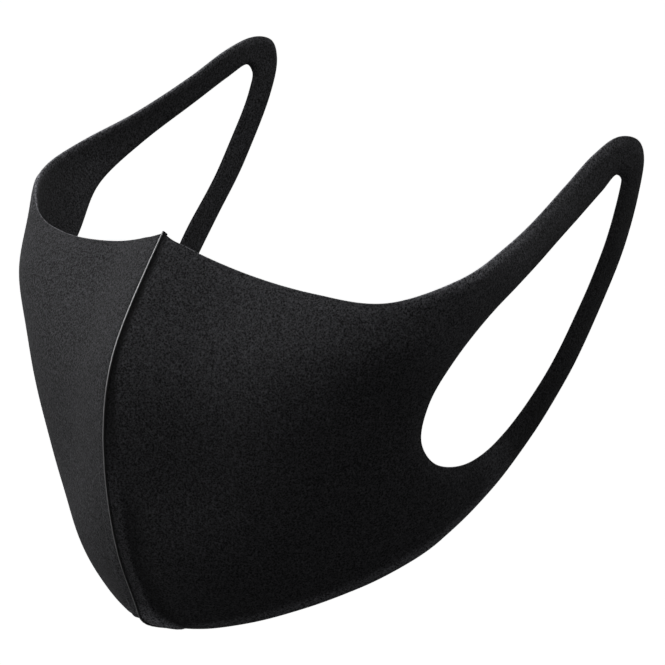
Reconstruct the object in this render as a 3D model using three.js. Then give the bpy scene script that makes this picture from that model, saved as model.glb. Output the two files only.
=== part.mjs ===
// Reusable black foam face mask, in the shape it takes on a face. Two foam panels, each with its ear
// loop cut in one piece, meet at a welded seam down the centre front.
// Millimetres. X runs across the face with +X at the wearer's left, -Y points forward, +Z is up.
// The origin is the top of the seam, where the mask sits on the bridge of the nose.
import * as THREE from 'three';
import { mergeVertices } from 'three/addons/utils/BufferGeometryUtils.js';

const FOAM = 2; // thickness of the foam
const BEAD_WIDTH = 1; // the weld bead, across
const BEAD_RISE = 0.6; // how far the bead stands proud of the foam
const GAP = 0.3; // kept between the bead and each panel
const AXIS = 50; // the face's upright axis, behind the seam top
const SIDE_TURN = 90; // past this turn from the seam, in degrees, the sides run straight back
const BACK_STEP = 1.4; // and each degree of turn stands for this length
// The loops hang unevenly, the wearer's left one lower: the form shears by this much at this place on it.
const LOOP_DROP = { by: 2.3, x: 72, y: 128, from: 20 };

const CELLS = 4; // mesh cells between two rows of the tables
const BODY_COLUMNS = 26; // mesh cells from the seam to the front of the ear loop
const BAND_CELLS = 4; // mesh cells across the ear loop's band

// Centre line of the front, from the nose bridge to under the chin.
const SEAM = [
  { z: 0, y: 0 },
  { z: -16, y: -12.5 },
  { z: -31, y: -22 },
  { z: -47, y: -26.5 },
  { z: -62, y: -27 },
  { z: -81, y: -24.5 },
  { z: -101, y: -18.5 },
  { z: -114.5, y: -12.5 },
  { z: -120.5, y: -7 },
  { z: -123.5, y: 1 },
];

// Outer face at each height: its distance from the axis at these turns from the seam.
const TURNS = [20, 40, 60, 75, 90, 120, 150];
const LEVELS = [
  { z: 20, reach: [42, 40, 52, 74, 73, 71, 73] },
  { z: -8, reach: [51.5, 55, 66, 79.5, 83.5, 79, 72.5] },
  { z: -24, reach: [61, 65.5, 76.5, 80.5, 79.5, 76.5, 73] },
  { z: -42, reach: [68, 71, 75.5, 75.5, 74.5, 75.5, 73] },
  { z: -70, reach: [67.5, 68, 69, 70, 72, 73, 70.5] },
  { z: -100, reach: [64.5, 60, 60, 62, 65, 66.5, 68.5] },
  { z: -125, reach: [49, 48, 49.5, 53.5, 58.5, 63, 66.5] },
];

// Edges of a panel laid out by turn and height, in the order of the cut: the top edge from the seam,
// the ear loop with its outer edge and hole side by side, and the bottom edge back to the seam.
const TOP_EDGE = [
  { turn: 0, z: 0 },
  { turn: 28, z: -8 },
  { turn: 51, z: -12 },
  { turn: 66, z: -12.8 },
];
const LOOP = [
  { turn: 80.5, z: -8, hole: { turn: 89, z: -27.5 } },
  { turn: 94, z: -3, hole: { turn: 98, z: -16.6 } },
  { turn: 109.5, z: 2, hole: { turn: 112.5, z: -7.8 } },
  { turn: 124.5, z: 8.5, hole: { turn: 126, z: -0.2 } },
  { turn: 135, z: 13.7, hole: { turn: 136, z: 4.2 } },
  { turn: 143.5, z: 16.3, hole: { turn: 141.3, z: 6.2 } },
  { turn: 149.5, z: 13, hole: { turn: 144, z: 3 } },
  { turn: 151.2, z: 7, hole: { turn: 143.8, z: -1.5 } },
  { turn: 149, z: -4, hole: { turn: 141, z: -10 } },
  { turn: 141.5, z: -21.7, hole: { turn: 133.5, z: -25 } },
  { turn: 132.5, z: -37.2, hole: { turn: 125, z: -38.2 } },
  { turn: 124, z: -50.5, hole: { turn: 116, z: -51.8 } },
  { turn: 113.2, z: -66.2, hole: { turn: 106, z: -63.3 } },
  { turn: 101, z: -81.2, hole: { turn: 98, z: -69.2 } },
  { turn: 87, z: -94, hole: { turn: 91.5, z: -70.7 } },
];
const BOTTOM_EDGE = [
  { turn: 71.5, z: -103 },
  { turn: 54, z: -110.3 },
  { turn: 33, z: -117 },
  { turn: 12, z: -121.5 },
  { turn: 0, z: -123.5 },
];

// The line in front of the hole where the loop's mesh meets the body's, from the bottom edge up.
const HOLE_FRONT = [
  { turn: 71, z: -82, hole: { turn: 83, z: -68 } },
  { turn: 64.5, z: -66, hole: { turn: 77.6, z: -59.5 } },
  { turn: 64.5, z: -47, hole: { turn: 78.3, z: -47.5 } },
  { turn: 70, z: -27, hole: { turn: 82.5, z: -36.5 } },
];

// Natural cubic spline through (xs, ys), running on straight past both ends.
function spline(xs, ys) {
  const last = xs.length - 1;
  const bend = new Array(last + 1).fill(0);
  const carry = new Array(last + 1).fill(0);
  for (let i = 1; i < last; i++) {
    const ratio = (xs[i] - xs[i - 1]) / (xs[i + 1] - xs[i - 1]);
    const pivot = ratio * bend[i - 1] + 2;
    const rise = (ys[i + 1] - ys[i]) / (xs[i + 1] - xs[i]) - (ys[i] - ys[i - 1]) / (xs[i] - xs[i - 1]);
    bend[i] = (ratio - 1) / pivot;
    carry[i] = ((6 * rise) / (xs[i + 1] - xs[i - 1]) - ratio * carry[i - 1]) / pivot;
  }
  bend[last] = 0;
  for (let i = last - 1; i >= 0; i--) bend[i] = bend[i] * bend[i + 1] + carry[i];

  const inside = (i, x) => {
    const step = xs[i + 1] - xs[i];
    const a = (xs[i + 1] - x) / step;
    const b = (x - xs[i]) / step;
    const curve = ((a ** 3 - a) * bend[i] + (b ** 3 - b) * bend[i + 1]) * (step ** 2 / 6);
    return a * ys[i] + b * ys[i + 1] + curve;
  };
  const slope = (i, x) => (inside(i, x + 0.001) - inside(i, x - 0.001)) / 0.002;
  return (x) => {
    if (x <= xs[0]) return ys[0] + slope(0, xs[0]) * (x - xs[0]);
    if (x >= xs[last]) return ys[last] + slope(last - 1, xs[last]) * (x - xs[last]);
    return inside(xs.findIndex((knot) => knot > x) - 1, x);
  };
}

const upward = (rows) => [...rows].sort((a, b) => a.z - b.z);
const seamRows = upward(SEAM);
const levelRows = upward(LEVELS);
const seamY = spline(seamRows.map((row) => row.z), seamRows.map((row) => row.y));
const levels = levelRows.map((row) => row.z);
const reachAt = TURNS.map((_, i) => spline(levels, levelRows.map((row) => row.reach[i])));

// Point of the outer face at a turn and height, on the wearer's left.
function face(turn, z) {
  const reach = spline([0, ...TURNS], [AXIS - seamY(z), ...reachAt.map((at) => at(z))])(turn);
  const angle = THREE.MathUtils.degToRad(Math.min(turn, SIDE_TURN));
  const back = BACK_STEP * Math.max(turn - SIDE_TURN, 0);
  return new THREE.Vector3(reach * Math.sin(angle), AXIS - reach * Math.cos(angle) + back, z);
}

function faceNormal(turn, z) {
  const alongTurn = face(turn + 0.5, z).sub(face(turn - 0.5, z));
  const alongHeight = face(turn, z + 0.5).sub(face(turn, z - 0.5));
  return alongTurn.cross(alongHeight).normalize();
}

// How far a point is raised by the uneven hang.
function hang(point) {
  const across = point.x / LOOP_DROP.x;
  const back = (point.y - LOOP_DROP.from) / (LOOP_DROP.y - LOOP_DROP.from);
  return -LOOP_DROP.by * across * back;
}

// Point of a panel at a depth below its outer face. At the seam the panel is cut square to X.
function panelPoint(side, [turn, z], depth) {
  const cut = BEAD_WIDTH / 2 + GAP;
  const atSeam = turn === 0;
  const nearSeam = THREE.MathUtils.radToDeg(cut / (AXIS - seamY(z)));
  const from = Math.max(turn, nearSeam);
  const point = face(from, z);
  const normal = faceNormal(from, z);
  if (atSeam) {
    normal.setX(0).divideScalar(normal.lengthSq());
    point.x = cut;
  }
  point.addScaledVector(normal, -depth);
  point.x *= side;
  point.z += hang(point);
  return point;
}

function curve(rows, closed = false) {
  const knots = rows.map((row) => new THREE.Vector3(row.turn, row.z, 0));
  return new THREE.CatmullRomCurve3(knots, closed, 'centripetal');
}

// Points along a curve through rows, from row first to row last, count cells in all.
function along(path, rows, first, last, count) {
  const points = [];
  for (let i = 0; i <= count; i++) {
    const at = path.getPoint((first + ((last - first) * i) / count) / rows);
    points.push([at.x, at.y]);
  }
  return points;
}

// Four-sided patch between its edges: top and bottom run from the seam back, front and rear downward.
function patch(top, bottom, front, rear) {
  const columns = top.length - 1;
  const rows = front.length - 1;
  return front.map((_, j) => top.map((_, i) => [0, 1].map((k) => {
    const s = i / columns;
    const t = j / rows;
    const upper = (1 - s) * top[0][k] + s * top[columns][k];
    const lower = (1 - s) * bottom[0][k] + s * bottom[columns][k];
    const across = (1 - t) * top[i][k] + t * bottom[i][k] + (1 - s) * front[j][k] + s * rear[j][k];
    return across - (1 - t) * upper - t * lower;
  })));
}

// The panel's flat net: one patch for the body and one ring of cells for the ear loop.
function panelNet() {
  const edgeRows = [...TOP_EDGE, ...LOOP, ...BOTTOM_EDGE];
  const edge = curve(edgeRows);
  const loopStart = TOP_EDGE.length;
  const loopEnd = loopStart + LOOP.length - 1;
  const lastRow = edgeRows.length - 1;
  const frontRows = [LOOP.at(-1), ...HOLE_FRONT, LOOP[0]];
  const frontSteps = frontRows.length - 1;
  const holeRows = [...LOOP, ...HOLE_FRONT].map((row) => row.hole);

  const loopEdge = along(edge, lastRow, loopStart, loopEnd, (loopEnd - loopStart) * CELLS);
  const holeFront = along(curve(frontRows), frontSteps, 0, frontSteps, frontSteps * CELLS);
  const hole = along(curve(holeRows, true), holeRows.length, 0, holeRows.length, holeRows.length * CELLS);
  const outside = [...loopEdge, ...holeFront.slice(1)];

  const rear = [...holeFront].reverse();
  const front = rear.map((_, j) => [0, (BOTTOM_EDGE.at(-1).z * j) / (rear.length - 1)]);
  const top = along(edge, lastRow, 0, loopStart, BODY_COLUMNS);
  const bottom = along(edge, lastRow, lastRow, loopEnd, BODY_COLUMNS);

  const band = Array.from({ length: BAND_CELLS + 1 }, (_, i) => outside.map((out, j) => {
    const t = i / BAND_CELLS;
    return [out[0] + (hole[j][0] - out[0]) * t, out[1] + (hole[j][1] - out[1]) * t];
  }));
  return [patch(top, bottom, front, rear), band];
}

// Closes the net into a solid: outer face, inner face, and a rim wherever the net has an edge.
function panelGeometry(side) {
  const points = [];
  const places = new Map();
  const place = (at) => {
    const key = at.map((value) => value.toFixed(4)).join(' ');
    if (!places.has(key)) {
      places.set(key, points.length);
      points.push(at);
    }
    return places.get(key);
  };
  const cells = [];
  for (const grid of panelNet()) {
    for (let j = 1; j < grid.length; j++) {
      for (let i = 1; i < grid[j].length; i++) {
        cells.push([grid[j][i - 1], grid[j][i], grid[j - 1][i], grid[j - 1][i - 1]].map(place));
      }
    }
  }

  const count = points.length;
  const faces = [];
  const quad = (a, b, c, d) => faces.push(...(side > 0 ? [a, b, c, a, c, d] : [a, c, b, a, d, c]));
  const used = new Set(cells.flatMap((cell) => cell.map((a, i) => a + ' ' + cell[(i + 1) % 4])));
  for (const cell of cells) {
    const [a, b, c, d] = cell;
    quad(a, b, c, d);
    quad(d + count, c + count, b + count, a + count);
    cell.forEach((from, i) => {
      const to = cell[(i + 1) % 4];
      if (!used.has(to + ' ' + from)) quad(to, from, from + count, to + count);
    });
  }
  return solid([0, FOAM].flatMap((depth) => points.map((at) => panelPoint(side, at, depth))), faces);
}

// The bead's section swept down the seam: u across, v out from the foam's outer face.
function beadGeometry() {
  const half = BEAD_WIDTH / 2;
  const section = [
    [-half, -FOAM],
    [half, -FOAM],
    [half, BEAD_RISE - half],
    [half * 0.7, BEAD_RISE - half * 0.3],
    [0, BEAD_RISE],
    [-half * 0.7, BEAD_RISE - half * 0.3],
    [-half, BEAD_RISE - half],
  ];
  const rows = SEAM.map((row) => new THREE.Vector3(0, row.y, row.z));
  const steps = (SEAM.length - 1) * CELLS;
  const points = [];
  for (let i = 0; i <= steps; i++) {
    const z = (SEAM.at(-1).z * i) / steps;
    const forward = faceNormal(0, z).setX(0).normalize();
    for (const [u, v] of section) {
      points.push(new THREE.Vector3(u, seamY(z), z).addScaledVector(forward, v));
    }
  }
  const faces = [];
  const sides = section.length;
  for (let i = 0; i < steps; i++) {
    for (let k = 0; k < sides; k++) {
      const a = i * sides + k;
      const b = i * sides + ((k + 1) % sides);
      faces.push(a, b, b + sides, a, b + sides, a + sides);
    }
  }
  const end = steps * sides;
  for (let k = 1; k < sides - 1; k++) {
    faces.push(0, k + 1, k);
    faces.push(end, end + k, end + k + 1);
  }
  return solid(points, faces);
}

function solid(points, faces) {
  const geometry = new THREE.BufferGeometry();
  const numbers = points.flatMap((point) => point.toArray());
  geometry.setAttribute('position', new THREE.Float32BufferAttribute(numbers, 3));
  geometry.setIndex(faces);
  const merged = mergeVertices(geometry);
  merged.computeVertexNormals();
  return merged;
}

const foam = () => new THREE.MeshStandardMaterial({ color: 0x141416, roughness: 0.95, metalness: 0 });
const weld = () => new THREE.MeshStandardMaterial({ color: 0x2c2c30, roughness: 0.7, metalness: 0 });

const mask = new THREE.Group();
const add = (name, geometry, material) => {
  const mesh = new THREE.Mesh(geometry, material);
  mesh.name = name;
  mask.add(mesh);
};
add('left_panel', panelGeometry(1), foam());
add('right_panel', panelGeometry(-1), foam());
add('centre_seam', beadGeometry(), weld());

export default mask;
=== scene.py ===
import math
from types import SimpleNamespace

import bpy
import numpy as np
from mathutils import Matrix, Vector, noise
from mathutils.kdtree import KDTree


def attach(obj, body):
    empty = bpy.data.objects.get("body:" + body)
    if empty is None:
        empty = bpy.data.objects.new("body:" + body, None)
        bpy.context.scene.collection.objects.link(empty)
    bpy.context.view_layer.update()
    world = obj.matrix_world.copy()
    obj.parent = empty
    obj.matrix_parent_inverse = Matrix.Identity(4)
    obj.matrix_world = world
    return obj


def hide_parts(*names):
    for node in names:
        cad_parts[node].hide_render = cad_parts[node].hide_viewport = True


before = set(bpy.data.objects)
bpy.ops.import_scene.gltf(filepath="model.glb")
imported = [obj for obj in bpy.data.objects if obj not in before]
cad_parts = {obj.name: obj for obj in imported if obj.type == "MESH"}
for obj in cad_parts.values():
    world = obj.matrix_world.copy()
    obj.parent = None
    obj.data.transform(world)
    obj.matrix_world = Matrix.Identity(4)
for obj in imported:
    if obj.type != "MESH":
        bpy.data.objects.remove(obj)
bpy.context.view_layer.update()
mm = 0.001
bpy.ops.object.select_all(action="DESELECT")
print("frame loaded")


# A node's socket. Its operators add Math nodes, so that shader maths is written as expressions.
class Value:
    def __init__(self, nodes, socket):
        self.nodes = nodes
        self.socket = socket

    def maths(self, operation, *others):
        return self.nodes.node("ShaderNodeMath", {"operation": operation}, dict(enumerate((self, *others))))

    def __add__(self, other):
        return self.maths("ADD", other)

    def __sub__(self, other):
        return self.maths("SUBTRACT", other)

    def __rsub__(self, other):
        return self * -1 + other

    def __mul__(self, other):
        return self.maths("MULTIPLY", other)

    __radd__ = __add__
    __rmul__ = __mul__


# The nodes of a material or of the world.
class Nodes:
    mixSockets = {"first": 6, "second": 7, "output": 2}  # where a Mix node takes and gives colours

    def __init__(self, tree):
        self.tree = tree

    def node(self, kind, settings=None, values=None, output=0):
        made = self.tree.nodes.new(kind)
        for name, setting in (settings or {}).items():
            setattr(made, name, setting)
        for name, value in (values or {}).items():
            self.feed(made.inputs[name], value)
        return Value(self, made.outputs[output]) if made.outputs else None

    def feed(self, socket, value):
        if isinstance(value, Value):
            self.tree.links.new(value.socket, socket)
        else:
            socket.default_value = value

    def mixColours(self, factor, first, second, blend="MIX"):
        sockets = self.mixSockets
        settings = {"data_type": "RGBA", "blend_type": blend}
        values = {"Factor": factor, sockets["first"]: first, sockets["second"]: second}
        return self.node("ShaderNodeMix", settings, values, sockets["output"])


# A material, whose look is set on its Principled shader.
class Material(Nodes):
    def __init__(self, name):
        self.data = bpy.data.materials.new(name)
        self.data.use_nodes = True
        super().__init__(self.data.node_tree)

    def place(self):
        return self.node("ShaderNodeTexCoord", output="Object")

    def along(self, place, axis):
        return self.node("ShaderNodeSeparateXYZ", values={"Vector": place}, output=axis)

    def set(self, values):
        for name, value in values.items():
            self.feed(self.tree.nodes["Principled BSDF"].inputs[name], value)


# The camera looks from the wearer's front left, a little above.
cameraSetup = {
    "turn": 40,  # round from straight in front
    "tilt": 18,  # above the horizon
    "distance": 3000,
    "aim": (44.0, 25.0, -28.0),
    "lens": 552.2,
    "clipEnd": 50000,
}


def makeCamera(setup):
    turn = math.radians(setup["turn"])
    tilt = math.radians(setup["tilt"])
    level = math.cos(tilt)
    towards = Vector((math.sin(turn) * level, -math.cos(turn) * level, math.sin(tilt)))
    bpy.ops.object.camera_add(location=(Vector(setup["aim"]) + towards * setup["distance"]) * mm)
    camera = bpy.context.object
    camera.name = "camera"
    camera.data.lens = setup["lens"]
    camera.data.clip_end = setup["clipEnd"] * mm
    camera.rotation_mode = "QUATERNION"
    camera.rotation_quaternion = (-towards).to_track_quat("-Z", "Y")
    bpy.context.scene.camera = camera


makeCamera(cameraSetup)


# The key light stands at the wearer's right. The weaker ones fill in from the front, above, the back
# and below. In their names left and right are as seen from in front.
studio = {
    "centre": (0, 50, -50),  # what the lights are aimed at
    "lights": [
        {"name": "keyLight", "towards": (-0.86, -0.42, 0.30), "distance": 900, "size": 380, "power": 3.1},
        {"name": "frontLeft", "towards": (-0.55, -0.85, 0.15), "distance": 900, "size": 380, "power": 0.85},
        {"name": "topLight", "towards": (0.05, -0.15, 1.0), "distance": 600, "size": 520, "power": 1.15},
        {"name": "frontRight", "towards": (0.8, -0.7, 0.5), "distance": 800, "size": 400, "power": 0.45},
        {"name": "backRight", "towards": (0.75, 0.75, 0.55), "distance": 800, "size": 400, "power": 0.32},
        {"name": "backLeft", "towards": (-0.9, 0.6, -0.05), "distance": 900, "size": 380, "power": 0.9},
        {"name": "insideLight", "towards": (0.15, 1, 0.35), "distance": 900, "size": 500, "power": 0.85},
        {"name": "lowLight", "towards": (0.5, 0.1, -0.9), "distance": 600, "size": 400, "power": 0.14},
    ],
    "floorHeight": -1200,
    "floorSize": 60000,
    "paper": (0.9, 0.9, 0.9, 1),
    "backdrop": (1, 1, 1, 1),  # what the camera sees behind the mask and on the floor
    "skyColour": (0.96, 0.97, 1, 1),
    "skyLight": 0.008,
}


def makeLight(row, centre):
    towards = Vector(row["towards"]).normalized()
    bpy.ops.object.light_add(type="AREA", location=(Vector(centre) + towards * row["distance"]) * mm)
    light = bpy.context.object
    light.name = row["name"]
    light.data.size = row["size"] * mm
    light.data.energy = row["power"]
    light.rotation_mode = "QUATERNION"
    light.rotation_quaternion = (-towards).to_track_quat("-Z", "Y")
    light.visible_camera = False


# A floor far below that shines white and throws no light back on the mask.
def makeFloor(setup):
    place = (0, 0, setup["floorHeight"] * mm)
    bpy.ops.mesh.primitive_plane_add(size=setup["floorSize"] * mm, location=place)
    floor = bpy.context.object
    floor.name = "floor"
    bpy.ops.object.transform_apply(location=True, rotation=True, scale=True)
    floor.visible_diffuse = False
    floor.visible_glossy = False
    paper = Material("whitePaper")
    paper.set({
        "Base Color": setup["paper"],
        "Roughness": 1,
        "Emission Color": setup["backdrop"],
        "Emission Strength": 1,
    })
    floor.data.materials.append(paper.data)


# White behind the mask for the camera, and a faint sky for its light.
def makeWorld(setup):
    world = bpy.data.worlds.new("studioWorld")
    world.use_nodes = True
    bpy.context.scene.world = world
    nodes = Nodes(world.node_tree)
    nodes.tree.nodes.clear()
    seenByCamera = nodes.node("ShaderNodeLightPath", output="Is Camera Ray")
    skyValues = {"Color": setup["skyColour"], "Strength": setup["skyLight"]}
    sky = nodes.node("ShaderNodeBackground", values=skyValues)
    backdrop = nodes.node("ShaderNodeBackground", values={"Color": setup["backdrop"]})
    both = nodes.node("ShaderNodeMixShader", values={0: seenByCamera, 1: sky, 2: backdrop})
    nodes.node("ShaderNodeOutputWorld", values={"Surface": both})


for row in studio["lights"]:
    makeLight(row, studio["centre"])
makeFloor(studio)
makeWorld(studio)
bpy.context.scene.view_settings.view_transform = "Standard"
print("camera, lights and floor made")


foamLook = {
    "dark": (0.006, 0.006, 0.0065, 1),
    "light": (0.108, 0.108, 0.117, 1),
    "grain": {"cells": 2150, "detail": 1, "share": 0.75},  # cells to a metre, share of the height
    "pits": {"cells": 1350, "share": 0.25},
    "cloud": {"cells": 60, "strength": 0.12},
    "contrast": 2.6,
    "middle": 0.38,
    "bump": 0.75,
    "bumpDepth": 0.3,
    "roughness": 0.92,
    "specular": 0.3,
    "sheen": 0.06,
    "sheenRoughness": 0.5,
}


def makeFoam(look):
    grainLook, pitsLook, cloudLook = look["grain"], look["pits"], look["cloud"]
    material = Material("spongeFoam")
    place = material.place()
    grainValues = {"Vector": place, "Scale": grainLook["cells"], "Detail": grainLook["detail"]}
    grain = material.node("ShaderNodeTexNoise", values=grainValues)
    pits = material.node("ShaderNodeTexVoronoi", values={"Vector": place, "Scale": pitsLook["cells"]})
    cloud = material.node("ShaderNodeTexNoise", values={"Vector": place, "Scale": cloudLook["cells"]})
    height = grain * grainLook["share"] + pits * pitsLook["share"]
    unevenness = (cloud - 0.5) * cloudLook["strength"]  # the patterns' values lie round 0.5
    tone = (height - 0.5) * look["contrast"] + look["middle"] + unevenness
    skin = material.mixColours(tone, look["dark"], look["light"])
    # The tone attribute is the panels' painted light and shade, multiplied into the foam's colour.
    paleness = material.node("ShaderNodeAttribute", {"attribute_name": "tone"}, output="Fac")
    bumpValues = {"Height": height, "Strength": look["bump"], "Distance": look["bumpDepth"] * mm}
    material.set({
        "Base Color": material.mixColours(1, skin, paleness, blend="MULTIPLY"),
        "Normal": material.node("ShaderNodeBump", values=bumpValues),
        "Roughness": look["roughness"],
        "Specular IOR Level": look["specular"],
        "Sheen Weight": look["sheen"],
        "Sheen Roughness": look["sheenRoughness"],
    })
    return material.data


# The weld's crest is pressed foam, paler than the rest, with a painted highlight on it that is brightest at
# the nose.
weldLook = {
    "dark": (0.33, 0.33, 0.337, 1),  # the crest at the chin, pressed foam with a dim painted highlight
    "light": (0.9, 0.9, 0.91, 1),  # the crest at the nose, pressed foam with a bright painted highlight
    "paintedHighlight": (-45, -20),  # heights between which the crest's painted highlight turns from dim to bright
    "flank": (0.042, 0.042, 0.043, 1),
    "crest": (0.1, 0.26),  # from the mid-plane: where the crest ends and the flank begins
    "grain": {"cells": 900, "detail": 3, "share": 0.2},
    "bump": 0.2,
    "bumpDepth": 0.1,
    "roughness": 0.33,
}


def makeWeld(look):
    grainLook = look["grain"]
    material = Material("pressedFoamPaintedHighlight")
    place = material.place()
    grainValues = {"Vector": place, "Scale": grainLook["cells"], "Detail": grainLook["detail"]}
    grain = material.node("ShaderNodeTexNoise", values=grainValues)
    # Painted highlight along the crest: bright at the nose, dim at the chin, with some grain in it.
    low, high = look["paintedHighlight"]
    shineValues = {"Value": material.along(place, "Z"), "From Min": low * mm, "From Max": high * mm}
    paintedHighlight = material.node("ShaderNodeMapRange", values=shineValues)
    paleness = paintedHighlight * (1 - grainLook["share"]) + grain * grainLook["share"]
    crest = material.mixColours(paleness, look["dark"], look["light"])
    across = material.along(place, "X").maths("ABSOLUTE") * (1 / mm)
    low, high = look["crest"]
    flankValues = {"Value": across, "From Min": low, "From Max": high}
    flank = material.node("ShaderNodeMapRange", {"interpolation_type": "SMOOTHSTEP"}, flankValues)
    bumpValues = {"Height": grain, "Strength": look["bump"], "Distance": look["bumpDepth"] * mm}
    material.set({
        "Base Color": material.mixColours(flank, crest, look["flank"]),
        "Normal": material.node("ShaderNodeBump", values=bumpValues),
        "Roughness": look["roughness"],
    })
    return material.data


foam = makeFoam(foamLook)
weld = makeWeld(weldLook)
print("materials made")


# The form that both panels take. A place on it is a turn from the seam, in degrees, and a height.
form = {
    "axis": 50,  # the face's upright axis, behind the seam's top
    "sideTurn": 90,  # past this turn the sides run straight back
    "backStep": 1.4,  # and each degree of turn stands for this length
    "seam": [  # height, y
        (0, 0),
        (-16, -12.5),
        (-31, -22),
        (-47, -26.5),
        (-62, -27),
        (-81, -24.5),
        (-101, -18.5),
        (-114.5, -12.5),
        (-120.5, -7),
        (-123.5, 1),
    ],
    "turns": [20, 40, 60, 75, 90, 120, 150],
    "levels": [  # height, reach from the axis at each of the turns
        (20, [42, 40, 52, 74, 73, 71, 73]),
        (-8, [51.5, 55, 66.4, 80.3, 84.3, 79.2, 72.5]),
        (-24, [61, 65.5, 76.6, 80.9, 80.1, 76.7, 73]),
        (-42, [68, 71, 75.5, 75.5, 74.5, 75.5, 73]),
        (-70, [67.5, 68, 69, 70, 72, 73, 70.5]),
        (-100, [64.6, 60.2, 60.1, 62, 65, 66.5, 68.5]),
        (-125, [49.3, 48.3, 49.6, 53.5, 58.5, 63, 66.5]),
    ],
    # The wearer's left loop hangs lower and the right one higher: by this much at this x and y, and
    # less the nearer a point lies to the mid-plane and to the y that it starts from.
    "loopDrop": {"by": 2.3, "x": 72, "y": 128, "from": 20},
}

# How a panel is cut, as turn and height. Each row of the loop holds a place on its outer edge and one on
# its hole's. In the rows in front of the hole, the first place is where the body's cells end.
cut = {
    "topEdge": [(0, 0), (14, -5), (28, -8.6), (51, -12.2), (66, -12.9)],
    "loop": [
        ((80.5, -7.7), (89.5, -27.4)),
        ((94, -3), (98, -17.4)),
        ((109.5, 1.9), (112.5, -7.7)),
        ((124.5, 8.6), (126, -0.5)),
        ((135, 13.8), (136, 4.7)),
        ((143.4, 15.6), (142.1, 7.4)),
        ((149.6, 12.6), (144.5, 4.1)),
        ((151.5, 7), (143.6, -1.1)),
        ((149.5, -4.1), (140.4, -10)),
        ((141.9, -22.1), (133.1, -25)),
        ((132.9, -37.5), (124.6, -38.2)),
        ((124.5, -51), (115.8, -51.8)),
        ((113.7, -66.9), (105.9, -63.3)),
        ((101.5, -81.9), (98, -69.1)),
        ((87.2, -94.6), (91.5, -70.7)),
    ],
    "bottomEdge": [(71.5, -103.5), (54, -110.7), (33, -117.2), (12, -121.2), (0, -123.2)],
    "holeFront": [
        ((71, -82), (82.7, -68)),
        ((64.5, -66), (77.6, -59.6)),
        ((64.5, -47), (78.5, -47.5)),
        ((70, -27), (82.9, -36.6)),
    ],
    # The two panels aren't cut quite alike: by row, what the wearer's left one has more of and the
    # right one less.
    "unevenTop": {1: (0, 0.1), 2: (0, 0.2), 3: (0, 0.2), 4: (0, -0.4)},
    "unevenOuter": {
        0: (0.2, -0.4),
        1: (-0.2, 0.3),
        2: (0, 0.4),
        3: (0, -0.4),
        4: (0, -0.5),
        5: (0.1, 0.2),
        6: (0.3, 0.2),
        7: (0.7, 0),
        8: (0.8, -0.3),
        9: (0.2, -0.3),
        10: (0.1, -0.3),
        11: (0.1, -0.2),
    },
    "unevenHole": {
        0: (-0.7, 0.1),
        1: (0, 0.2),
        2: (0, 0.4),
        3: (0, -0.9),
        4: (0, -1.5),
        5: (0, -1.2),
        6: (0, -0.5),
        7: (-0.2, -0.2),
        8: (-0.4, 0),
        9: (-0.2, 0),
        10: (0.1, 0),
    },
    "unevenBottom": {3: (0, -0.4)},
}

panel = {
    "foam": 2.0,  # thickness
    # The margins are pressed thinner where the foam is cut: a long slope outside, a short one inside.
    # Along the top of the straps the cut stays nearly as thick as the foam.
    "outerSlope": {"depth": 0.95, "flat": 1.8, "width": 4.6},
    "innerSlope": {"depth": 0.6, "flat": 0.3, "width": 1.5},
    "strapOuter": {"depth": 0.7, "flat": 0.3, "width": 2.4},
    "strapInner": {"depth": 0.35, "flat": 0.1, "width": 1.0},
    "slopeAtSeam": 0.35,  # the share of the outer slope that is left at the seam
    "fromSeam": (2, 9),  # how far from the seam the margins take their full form
    "edgeSwell": 0.3,  # how far the cut foam bulges between the two slopes
    "spread": {"by": 0.55, "over": 12.0},  # the pressing pushes the margin outwards
    "seamCut": 0.3,  # the panel's edge at the seam, inside the weld bead
    # Beside the weld, by height: the foam dips into a crease at the top, where shade is painted in, and
    # lower down the welded allowance shows as a flat strip that stands a little proud, where light is
    # painted on.
    "weldRows": [  # height, dip's depth and width, strip's rise and width, crease's painted shade (above 1 it is painted light) and width
        (0, 0.15, 1.4, 0.0, 3.0, 0.6, 1.2),
        (-6, 0.3, 1.6, 0.0, 3.0, 0.22, 1.7),
        (-35, 0.3, 1.8, 0.0, 3.4, 0.22, 1.9),
        (-48, 0.25, 2.4, 0.0, 3.6, 0.40, 3.0),
        (-58, 0.15, 2.6, 0.1, 3.9, 0.65, 3.9),
        (-70, 0.1, 1.0, 0.32, 4.1, 1.2, 4.1),
        (-100, 0.1, 1.0, 0.42, 4.1, 1.25, 4.1),
        (-112, 0.1, 1.0, 0.45, 4.8, 1.7, 4.9),
        (-116, 0.1, 1.0, 0.5, 5.6, 3.6, 6.2),
        (-119, 0.1, 1.0, 0.55, 6.8, 8.0, 8.5),
        (-123, 0.1, 1.0, 0.3, 8.0, 13.0, 11.0),
    ],
    "stripEdge": (-0.4, 0.7),  # where the strip falls off, past its width
    "tuck": {"depth": 1.3, "down": (106, 116), "width": 10},  # the wearer's right panel at the chin
    "ripple": {"height": 0.12, "size": 14.0},
    "bodyColumns": 90,
    "bodyRows": 84,
    "loopCells": 12,  # between two rows of the loop
    "bandCells": 26,
    "edgeRings": 4,
}

# Where the upper half of a loop's upper strap lies: the loop's rows that it follows, the turns over
# which it begins and ends, and how it comes in across the strap's middle line.
strapTopArea = {"rows": 6, "begins": (60, 80), "ends": (138, 148), "across": (-2, 2)}
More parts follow.
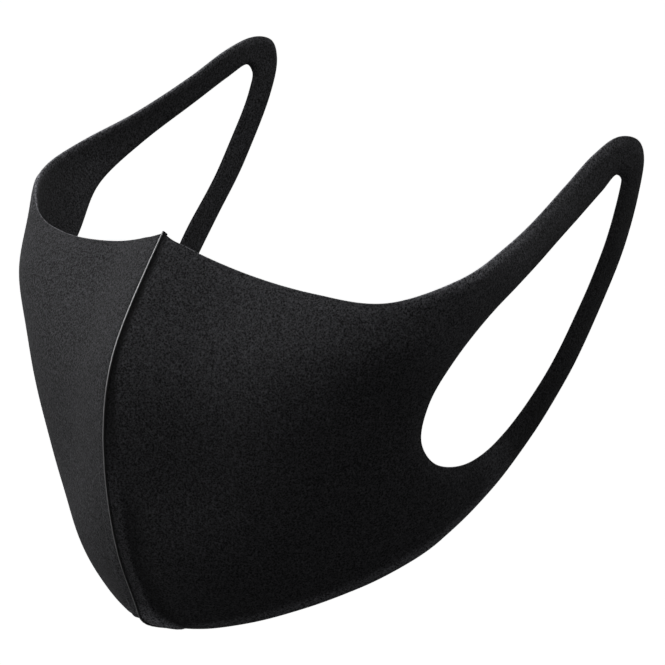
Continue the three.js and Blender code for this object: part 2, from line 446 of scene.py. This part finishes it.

# Painted light and shade: how much paler the foam's colour is made than its usual 1, or darker where the
# number is negative. A pair is where that comes in or fades out: in degrees of turn, in height, in depth
# down from the origin, or in distance from a cut edge.
shading = {
    # The crease's painted shade, and lower down its painted light, are in the weld's rows. They are painted
    # in full on the wearer's left and in part on the right, and the width's pair is in shares of the row's
    # width.
    "crease": {"sides": {1: 1.0, -1: 0.3}, "width": (0.55, 1.35)},
    "paintedHollowShade": {"by": -0.45, "begins": (-0.3, 0.6), "ends": (2, 8), "down": (70, 86)},  # painted shade beside the strip
    "strap": {  # painted light along the top of the straps, by turn
        "turns": [(62, 0.1), (70, 0.5), (80, 1.4), (92, 1.6), (108, 0.8), (122, 0.6), (135, 1.0)],
        "edge": (0.8, 3.4),
        "inside": 0.7,
        "insideEdge": (0.9, 2.2),
    },
    # painted light along the bottom margin, as if from below
    "bottom": {"by": 2.2, "down": (70, 92), "edge": (2, 5)},
    "rear": {  # painted shade outside on the rear straps, to a line that climbs at the loop's tip
        "by": -0.5,
        "turns": (98, 115),
        "heights": (-15, -3),
        "tip": {"rise": 14, "turns": (132, 146)},
    },
    # painted light round the root of the loop's lower strap, below the hole
    "loopRoot": {"by": 0.7, "at": (103, -74), "flatten": 0.7, "reach": (1.5, 8)},
    "paintedShoulderLight": {"by": 0.45, "begins": (64, 82), "ends": (98, 112), "down": (24, 46)},  # painted light on the upper cheek, toward the strap
    "inside": {"by": -0.3, "turns": (78, 102), "down": (2, 20)},  # painted shade on the body's inner face
    "rim": {"by": 3.0, "straps": (88, 96)},  # painted highlight on the cut edges, except round the rear of the loops
}

roundOff = 1e-9  # what numbers that should be equal may differ by


# Natural cubic spline through values at knots, running on straight past both ends. Returns one weight
# for each knot, a row for each place asked for.
def splineWeights(knots, places):
    knots = np.asarray(knots, float)
    places = np.asarray(places, float)
    count = len(knots)
    steps = np.diff(knots)
    system = np.eye(count)
    right = np.zeros((count, count))
    for i in range(1, count - 1):
        system[i, i - 1:i + 2] = steps[i - 1], 2 * (steps[i - 1] + steps[i]), steps[i]
        right[i, i - 1:i + 2] = 6 / steps[i - 1], -6 / steps[i - 1] - 6 / steps[i], 6 / steps[i]
    bends = np.linalg.solve(system, right)
    inside = np.clip(places, knots[0], knots[-1])
    i = np.clip(np.searchsorted(knots, inside, side="right") - 1, 0, count - 2)
    step = steps[i]
    a = (knots[i + 1] - inside) / step
    b = (inside - knots[i]) / step
    rows = np.arange(len(inside))
    bendBefore = ((a ** 3 - a) * step ** 2 / 6)[:, None] * bends[i]
    bendAfter = ((b ** 3 - b) * step ** 2 / 6)[:, None] * bends[i + 1]
    weights = bendBefore + bendAfter
    weights[rows, i] += a
    weights[rows, i + 1] += b
    slopeBefore = ((1 - 3 * a ** 2) * step / 6)[:, None] * bends[i]
    slopeAfter = ((3 * b ** 2 - 1) * step / 6)[:, None] * bends[i + 1]
    slope = slopeBefore + slopeAfter
    slope[rows, i] -= 1 / step
    slope[rows, i + 1] += 1 / step
    return weights + slope * (places - inside)[:, None]


seamHeights, seamPlaces = (np.array(column, float) for column in zip(*sorted(form["seam"])))
levelHeights, levelReaches = (np.array(column, float) for column in zip(*sorted(form["levels"])))


def seamY(heights):
    return splineWeights(seamHeights, heights) @ seamPlaces


# Points of the outer face on the wearer's left.
def face(turns, heights):
    turns = np.asarray(turns, float)
    heights = np.asarray(heights, float)
    reachAtTurns = splineWeights(levelHeights, heights) @ levelReaches
    knots = np.column_stack([form["axis"] - seamY(heights), reachAtTurns])
    reach = (splineWeights([0] + form["turns"], turns) * knots).sum(axis=1)
    angle = np.radians(np.minimum(turns, form["sideTurn"]))
    back = form["backStep"] * np.maximum(turns - form["sideTurn"], 0)
    return np.column_stack([reach * np.sin(angle), form["axis"] - reach * np.cos(angle) + back, heights])


def faceNormals(turns, heights):
    step = 0.5  # in degrees and in millimetres
    alongTurn = face(turns + step, heights) - face(turns - step, heights)
    alongHeight = face(turns, heights + step) - face(turns, heights - step)
    normals = np.cross(alongTurn, alongHeight)
    return normals / np.linalg.norm(normals, axis=1, keepdims=True)


# The loops hang unevenly: how far a point is raised by that.
def hang(points):
    drop = form["loopDrop"]
    span = drop["y"] - drop["from"]
    return -drop["by"] * points[:, 0] / drop["x"] * (points[:, 1] - drop["from"]) / span


# The row at i and its neighbours. Past an open curve's ends the first or last step is repeated.
def fourRows(rows, i, closed):
    count = len(rows)
    if closed:
        return [rows[(i + k) % count] for k in (-1, 0, 1, 2)]
    before = rows[i - 1] if i > 0 else 2 * rows[0] - rows[1]
    after = rows[i + 2] if i + 2 < count else 2 * rows[-1] - rows[-2]
    return [before, rows[i], rows[i + 1], after]


# Centripetal Catmull-Rom curve through rows, read at places counted in rows.
def curveThrough(rows, places, closed=False):
    rows = np.asarray(rows, float)
    points = []
    for place in places:
        i = int(math.floor(place + roundOff))
        if not closed:
            i = min(i, len(rows) - 2)
        t = place - i
        p = fourRows(rows, i, closed)
        d = [np.linalg.norm(p[k + 1] - p[k]) ** 0.5 for k in range(3)]
        start = (p[1] - p[0]) / d[0] - (p[2] - p[0]) / (d[0] + d[1]) + (p[2] - p[1]) / d[1]
        end = (p[2] - p[1]) / d[1] - (p[3] - p[1]) / (d[1] + d[2]) + (p[3] - p[2]) / d[2]
        points.append(
            (2 * t ** 3 - 3 * t ** 2 + 1) * p[1]
            + (t ** 3 - 2 * t ** 2 + t) * (start * d[1])
            + (3 * t ** 2 - 2 * t ** 3) * p[2]
            + (t ** 3 - t ** 2) * (end * d[1])
        )
    return np.array(points)


# Fractions from 0 to 1 that crowd at both ends, or at the start alone.
def crowded(count, bothEnds=True):
    i = np.arange(count + 1) / count
    return 0.5 - 0.5 * np.cos(np.pi * i) if bothEnds else 1 - np.cos(np.pi / 2 * i)


def rising(values, low, high):
    t = np.clip((values - low) / (high - low), 0, 1)
    return t * t * (3 - 2 * t)


def falling(values, low, high):
    return 1 - rising(values, low, high)


# The rows as one panel has them.
def unevenRows(rows, extras, side):
    made = []
    for i, (turn, height) in enumerate(rows):
        moreTurn, moreHeight = extras.get(i, (0, 0))
        made.append((turn + side * moreTurn, height + side * moreHeight))
    return made


# A panel laid out by turn and height: a grid for the body, and one round the ear loop's band.
def panelGrids(side):
    loopOuter = unevenRows([row[0] for row in cut["loop"]], cut["unevenOuter"], side)
    loopHole = unevenRows([row[1] for row in cut["loop"]], cut["unevenHole"], side)
    topEdge = unevenRows(cut["topEdge"], cut["unevenTop"], side)
    bottomEdge = unevenRows(cut["bottomEdge"], cut["unevenBottom"], side)
    outline = topEdge + loopOuter + bottomEdge
    frontRows = [loopOuter[-1]] + [row[0] for row in cut["holeFront"]] + [loopOuter[0]]
    holeRows = loopHole + [row[1] for row in cut["holeFront"]]
    loopRows = len(loopOuter) - 1
    loopStart = len(topEdge)
    loopEnd = loopStart + loopRows
    last = len(outline) - 1

    columns = crowded(panel["bodyColumns"], bothEnds=False)
    rows = crowded(panel["bodyRows"])
    loopPlaces = np.linspace(0, loopRows, loopRows * panel["loopCells"] + 1)
    frontPlaces = rows * (len(frontRows) - 1)
    holePlaces = np.concatenate([loopPlaces, loopRows + frontPlaces[1:]])
    holeFront = curveThrough(frontRows, frontPlaces)

    top = curveThrough(outline, columns * loopStart)
    bottom = curveThrough(outline, last + (loopEnd - last) * columns)
    rear = holeFront[::-1]
    front = np.column_stack([np.zeros(len(rows)), bottomEdge[-1][1] * rows])
    s, t = columns[None, :, None], rows[:, None, None]
    corners = (1 - t) * ((1 - s) * top[0] + s * top[-1]) + t * ((1 - s) * bottom[0] + s * bottom[-1])
    body = (1 - t) * top[None] + t * bottom[None] + (1 - s) * front[:, None] + s * rear[:, None] - corners

    outside = np.vstack([curveThrough(outline, loopStart + loopPlaces), holeFront[1:]])
    hole = curveThrough(holeRows, holePlaces, closed=True)
    across = crowded(panel["bandCells"])[:, None, None]
    return [body, outside[None] * (1 - across) + hole[None] * across]


# One net of four-sided cells from the grids. Places that agree to a thousandth become one point.
def joinGrids(grids):
    places, index, cells = [], {}, []
    for grid in grids:
        numbers = np.empty(grid.shape[:2], int)
        for j, row in enumerate(grid):
            for i, at in enumerate(row):
                key = (round(at[0], 3), round(at[1], 3))
                if key not in index:
                    index[key] = len(places)
                    places.append(at)
                numbers[j, i] = index[key]
        for j in range(1, grid.shape[0]):
            for i in range(1, grid.shape[1]):
                cell = (numbers[j, i - 1], numbers[j, i], numbers[j - 1, i], numbers[j - 1, i - 1])
                if len(set(cell)) == 4:
                    cells.append(cell)
    return np.array(places), cells


# The cells' sides that have no neighbour.
def openSides(cells):
    sides = {(cell[i], cell[(i + 1) % 4]) for cell in cells for i in range(4)}
    return sorted(pair for pair in sides if (pair[1], pair[0]) not in sides)


# How far each point is from the nearest target, and which one that is.
def nearest(points, targets):
    tree = KDTree(len(targets))
    for i, target in enumerate(targets):
        tree.insert(target, i)
    tree.balance()
    found = [tree.find(point)[1:] for point in points]
    return np.array([distance for _, distance in found]), np.array([index for index, _ in found])


# Points of the outer face and the ways it faces, cut square to the mid-plane at the seam.
def outerFace(turns, heights, atSeam):
    points = face(turns, heights)
    normals = faceNormals(turns, heights)
    squared = normals.copy()
    squared[:, 0] = 0
    squared /= (squared ** 2).sum(axis=1, keepdims=True)
    normals[atSeam] = squared[atSeam]
    points[atSeam, 0] = panel["seamCut"]
    return points, normals


# Which way is out of the foam at each point of a cut edge, and nothing elsewhere.
def outwardAt(cutSides, rimPoints, points, normals):
    outward = np.zeros(points.shape)
    for a, b in cutSides:
        away = np.cross(points[b] - points[a], normals[a] + normals[b])
        outward[[a, b]] += away / np.linalg.norm(away)
    lengths = np.linalg.norm(outward[rimPoints], axis=1, keepdims=True)
    outward[rimPoints] /= np.maximum(lengths, roundOff)
    return outward


# A panel's net on the outer face, with what is measured at each of its points.
def makeNet(side):
    places, cells = joinGrids(panelGrids(side))
    turns, heights = places[:, 0], places[:, 1]
    atSeam = turns < roundOff
    turns = np.maximum(turns, np.degrees(panel["seamCut"] / (form["axis"] - seamY(heights))))
    points, normals = outerFace(turns, heights, atSeam)

    rim = openSides(cells)
    cutSides = [(a, b) for a, b in rim if not (atSeam[a] and atSeam[b])]
    rimPoints = sorted({i for pair in rim for i in pair})
    cutPoints = np.array(sorted({i for pair in cutSides for i in pair}))
    outward = outwardAt(cutSides, rimPoints, points, normals)
    fromEdge, nearestCut = nearest(points, points[cutPoints])
    fromSeam = nearest(points, points[atSeam])[0]
    awayFromSeam = rising(fromSeam, *panel["fromSeam"])
    spread = panel["spread"]
    push = spread["by"] * falling(fromEdge, 0, spread["over"]) * awayFromSeam
    points += outward[cutPoints[nearestCut]] * push[:, None]
    return SimpleNamespace(
        side=side,
        cells=cells,
        rim=rim,
        rimPoints=rimPoints,
        turns=turns,
        heights=heights,
        down=-heights,
        points=points,
        normals=normals,
        outward=outward,
        fromEdge=fromEdge,
        fromSeam=fromSeam,
        awayFromSeam=awayFromSeam,
        strapTop=onStrapTop(turns, heights),
        weld=besideWeld(heights),
    )


# 1 on the upper half of a loop's upper strap, 0 elsewhere.
def onStrapTop(turns, heights):
    rows = cut["loop"][:strapTopArea["rows"]]
    middleTurns = [(outer[0] + hole[0]) / 2 for outer, hole in rows]
    middleHeights = [(outer[1] + hole[1]) / 2 for outer, hole in rows]
    aboveMiddle = heights - np.interp(turns, middleTurns, middleHeights)
    along = rising(turns, *strapTopArea["begins"]) * falling(turns, *strapTopArea["ends"])
    return along * rising(aboveMiddle, *strapTopArea["across"])


# The weld's rows, read at each height.
def besideWeld(heights):
    names = ("dipDepth", "dipWidth", "stripRise", "stripWidth", "creaseTone", "creaseWidth")
    rows = np.array(sorted(panel["weldRows"]))
    columns = {name: np.interp(heights, rows[:, 0], rows[:, i + 1]) for i, name in enumerate(names)}
    return SimpleNamespace(**columns)


# Depth of a pressed margin: an even slope for the flat width that then eases out.
def slopeDepth(slope, fromEdge):
    ease = slope["width"] - slope["flat"]
    steepness = slope["depth"] / (slope["flat"] + ease / 2)
    straight = slope["depth"] - steepness * fromEdge
    eased = steepness / (2 * ease) * np.maximum(slope["width"] - fromEdge, 0) ** 2
    return np.where(fromEdge < slope["flat"], straight, eased)


# Depths of the panel's outer and inner face below the form, with the margins, the dip and strip
# beside the weld, the ripple and the tuck.
def panelDepths(net):
    def margin(usual, onStrap):
        return (
            slopeDepth(panel[usual], net.fromEdge) * (1 - net.strapTop)
            + slopeDepth(panel[onStrap], net.fromEdge) * net.strapTop
        )

    weld = net.weld
    low, high = panel["stripEdge"]
    dip = weld.dipDepth * np.maximum(1 - net.fromSeam / weld.dipWidth, 0) ** 2
    strip = weld.stripRise * np.minimum(net.fromSeam / weld.stripWidth, 1)
    strip *= falling(net.fromSeam, weld.stripWidth + low, weld.stripWidth + high)
    size = panel["ripple"]["size"]
    ripple = np.array([noise.noise(Vector(point) / size) for point in net.points])
    ripple *= panel["ripple"]["height"]
    atSeam = panel["slopeAtSeam"]
    outerMargin = margin("outerSlope", "strapOuter") * (atSeam + (1 - atSeam) * net.awayFromSeam)
    outerDepth = outerMargin + dip - strip - ripple
    innerDepth = panel["foam"] - margin("innerSlope", "strapInner") - ripple
    if net.side < 0:
        tuck = panel["tuck"]
        tucked = tuck["depth"] * rising(net.down, *tuck["down"]) * falling(net.fromSeam, 0, tuck["width"])
        outerDepth += tucked
        innerDepth += tucked
    return outerDepth, innerDepth


# Painted light and shade: how much paler or darker the foam's colour is made on the outer face, on the
# inner face and round the rim.
def paintedPanelShading(net):
    weld = net.weld
    crease, paintedHollowShade, strap = shading["crease"], shading["paintedHollowShade"], shading["strap"]
    # Painted shade in the crease beside the weld, and painted light on the strip lower down.
    onSide = crease["sides"][net.side]
    low, high = crease["width"]
    inCrease = falling(net.fromSeam, weld.creaseWidth * low, weld.creaseWidth * high)
    outer = 1 + (weld.creaseTone - 1) * onSide * inCrease

    # Painted shade beside the strip, low on the face.
    pastStrip = net.fromSeam - weld.stripWidth
    inHollow = rising(pastStrip, *paintedHollowShade["begins"]) * falling(pastStrip, *paintedHollowShade["ends"])
    outer += paintedHollowShade["by"] * onSide * inHollow * rising(net.down, *paintedHollowShade["down"])

    # Painted light along the top of the straps.
    alongStrap = np.interp(net.turns, *zip(*strap["turns"])) * net.strapTop
    outer += alongStrap * falling(net.fromEdge, *strap["edge"])

    # Painted light along the bottom margin, as if from below.
    bottom = shading["bottom"]
    atBottom = rising(net.down, *bottom["down"]) * net.awayFromSeam * falling(net.fromEdge, *bottom["edge"])
    outer += bottom["by"] * atBottom

    # Painted shade outside on the rear straps.
    rear = shading["rear"]
    belowTip = net.heights - rear["tip"]["rise"] * rising(net.turns, *rear["tip"]["turns"])
    outer += rear["by"] * rising(net.turns, *rear["turns"]) * falling(belowTip, *rear["heights"])

    # Painted light round the root of the loop's lower strap.
    root = shading["loopRoot"]
    turn, height = root["at"]
    away = np.hypot(net.turns - turn, (net.heights - height) * root["flatten"])
    outer += root["by"] * falling(away, *root["reach"])

    # Painted light on the upper cheek toward the strap.
    paintedShoulderLight = shading["paintedShoulderLight"]
    onShoulder = rising(net.turns, *paintedShoulderLight["begins"]) * falling(net.turns, *paintedShoulderLight["ends"])
    outer += paintedShoulderLight["by"] * onShoulder * falling(net.down, *paintedShoulderLight["down"])

    # On the inner face: painted light along the top of the straps, painted shade on the body.
    inside = shading["inside"]
    inner = 1 + alongStrap * strap["inside"] * falling(net.fromEdge, *strap["insideEdge"])
    inner += inside["by"] * falling(net.turns, *inside["turns"]) * rising(net.down, *inside["down"])

    # Painted highlight round the cut edges.
    onRearStraps = rising(net.turns, *shading["rim"]["straps"]) * (1 - net.strapTop)
    rim = outer + shading["rim"]["by"] * (1 - onRearStraps) * net.awayFromSeam
    return outer, inner, rim[net.rimPoints]


# Vertices and faces of the closed sheet: its outer face, its inner face and the rings round its rim.
def closedSheet(net, outerDepth, innerDepth):
    count = len(net.points)
    rings = panel["edgeRings"]

    def layer(which, depth, swell=0):
        made = net.points[which] - net.normals[which] * depth[which, None] + net.outward[which] * swell
        made[:, 0] *= net.side
        made[:, 2] += hang(made)
        return made

    everywhere = np.arange(count)
    layers = [layer(everywhere, outerDepth), layer(everywhere, innerDepth)]
    for k in range(1, rings):
        depth = outerDepth + (innerDepth - outerDepth) * k / rings
        swell = panel["edgeSwell"] * net.awayFromSeam[net.rimPoints] * math.sin(math.pi * k / rings)
        layers.append(layer(net.rimPoints, depth, swell[:, None]))
    numberOnRim = {point: i for i, point in enumerate(net.rimPoints)}

    def ringPoint(i, k):
        if k == 0:
            return i
        if k == rings:
            return i + count
        return 2 * count + (k - 1) * len(net.rimPoints) + numberOnRim[i]

    faces = []
    for a, b, c, d in net.cells:
        faces.append((a, b, c, d))
        faces.append((d + count, c + count, b + count, a + count))
    for a, b in net.rim:
        for k in range(rings):
            faces.append((ringPoint(b, k), ringPoint(a, k), ringPoint(a, k + 1), ringPoint(b, k + 1)))
    if net.side < 0:
        faces = [reversed(corners) for corners in faces]
    return np.vstack(layers) * mm, [tuple(int(i) for i in corners) for corners in faces]


def makePanel(name, side):
    net = makeNet(side)
    vertices, faces = closedSheet(net, *panelDepths(net))
    mesh = bpy.data.meshes.new(name)
    mesh.from_pydata(vertices.tolist(), [], faces)
    mesh.validate()
    mesh.shade_smooth()
    mesh.materials.append(foam)
    # Painted light and shade for each point, kept as the tone attribute.
    outer, inner, rim = paintedPanelShading(net)
    paintedShading = np.concatenate([outer, inner] + [rim] * (panel["edgeRings"] - 1))
    mesh.attributes.new("tone", "FLOAT", "POINT").data.foreach_set("value", paintedShading)
    made = bpy.data.objects.new(name, mesh)
    bpy.context.collection.objects.link(made)
    return made


for name, side, node in (("leftFoam", 1, "left_panel"), ("rightFoam", -1, "right_panel")):
    sheet = makePanel(name, side)
    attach(sheet, "root")
    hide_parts(node)
    print("made", name, len(sheet.data.polygons), "faces")


seamBead = {
    "width": 0.6,
    "rise": [(0, 0.45), (-40, 0.45), (-65, 0.4), (-124, 0.4)],  # proud of the foam, by height
    "depth": 1.85,  # sunk into it
    "pastEnds": (0.35, -0.2),  # how far the weld runs on past the foam above and below
    "sides": 16,
    "steps": 110,
    "smoothAngle": 50,
    "facingTurn": 0.001,  # where the panel's facing is read, just beside the mid-plane
    "lowerHalf": 0.001,  # a point this far below the section's middle is in its lower half
}


# The bead's crest line and how far it leans back, from the nose bridge to under the chin.
def beadLine(setup):
    heights = np.linspace(0, cut["bottomEdge"][-1][1], setup["steps"] + 1)
    normals = faceNormals(np.full(len(heights), setup["facingTurn"]), heights)
    normals[:, 0] = 0
    normals /= np.linalg.norm(normals, axis=1, keepdims=True)
    riseHeights, riseValues = zip(*sorted(setup["rise"]))
    rises = np.interp(heights, riseHeights, riseValues)
    line = np.column_stack([np.zeros(len(heights)), seamY(heights), heights])
    line += normals * (rises - setup["width"] / 2)[:, None]
    for end, inner, past in ((0, 1, setup["pastEnds"][0]), (-1, -2, setup["pastEnds"][1])):
        step = line[end] - line[inner]
        line[end] += step / np.linalg.norm(step) * past
    return line, np.arctan2(normals[:, 2], -normals[:, 1])


# The section is a circle whose lower half is pushed down into the foam, drawn out step by step.
def makeBead(setup):
    line, leans = beadLine(setup)
    bpy.ops.object.select_all(action="DESELECT")
    bpy.ops.mesh.primitive_circle_add(
        vertices=setup["sides"],
        radius=setup["width"] / 2 * mm,
        fill_type="NGON",
        location=line[0] * mm,
        rotation=(-leans[0], 0, 0),
    )
    bead = bpy.context.object
    bead.name = "weldBead"
    bpy.ops.object.transform_apply(location=True, rotation=True, scale=True)
    lean = leans[0]
    facing = Vector((0, -math.cos(lean), math.sin(lean)))
    for vertex in bead.data.vertices:
        above = (vertex.co - Vector(line[0]) * mm).dot(facing)
        vertex.select = above < -setup["lowerHalf"] * mm
    for edge in bead.data.edges:
        edge.select = False
    for polygon in bead.data.polygons:
        polygon.select = False
    bpy.ops.object.mode_set(mode="EDIT")
    bpy.ops.mesh.select_mode(type="VERT")
    bpy.ops.transform.translate(value=-facing * setup["depth"] * mm)
    bpy.ops.mesh.select_all(action="SELECT")
    for i in range(1, len(line)):
        bpy.ops.mesh.extrude_region_move(TRANSFORM_OT_translate={"value": (line[i] - line[i - 1]) * mm})
        bpy.ops.transform.rotate(
            value=leans[i] - leans[i - 1], orient_axis="X", center_override=line[i] * mm
        )
    bpy.ops.mesh.select_all(action="SELECT")
    bpy.ops.mesh.normals_make_consistent(inside=False)
    bpy.ops.object.mode_set(mode="OBJECT")
    bpy.ops.object.shade_smooth_by_angle(angle=math.radians(setup["smoothAngle"]))
    bead.data.materials.append(weld)
    return bead


bead = makeBead(seamBead)
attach(bead, "root")
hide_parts("centre_seam")
print("made", bead.name)
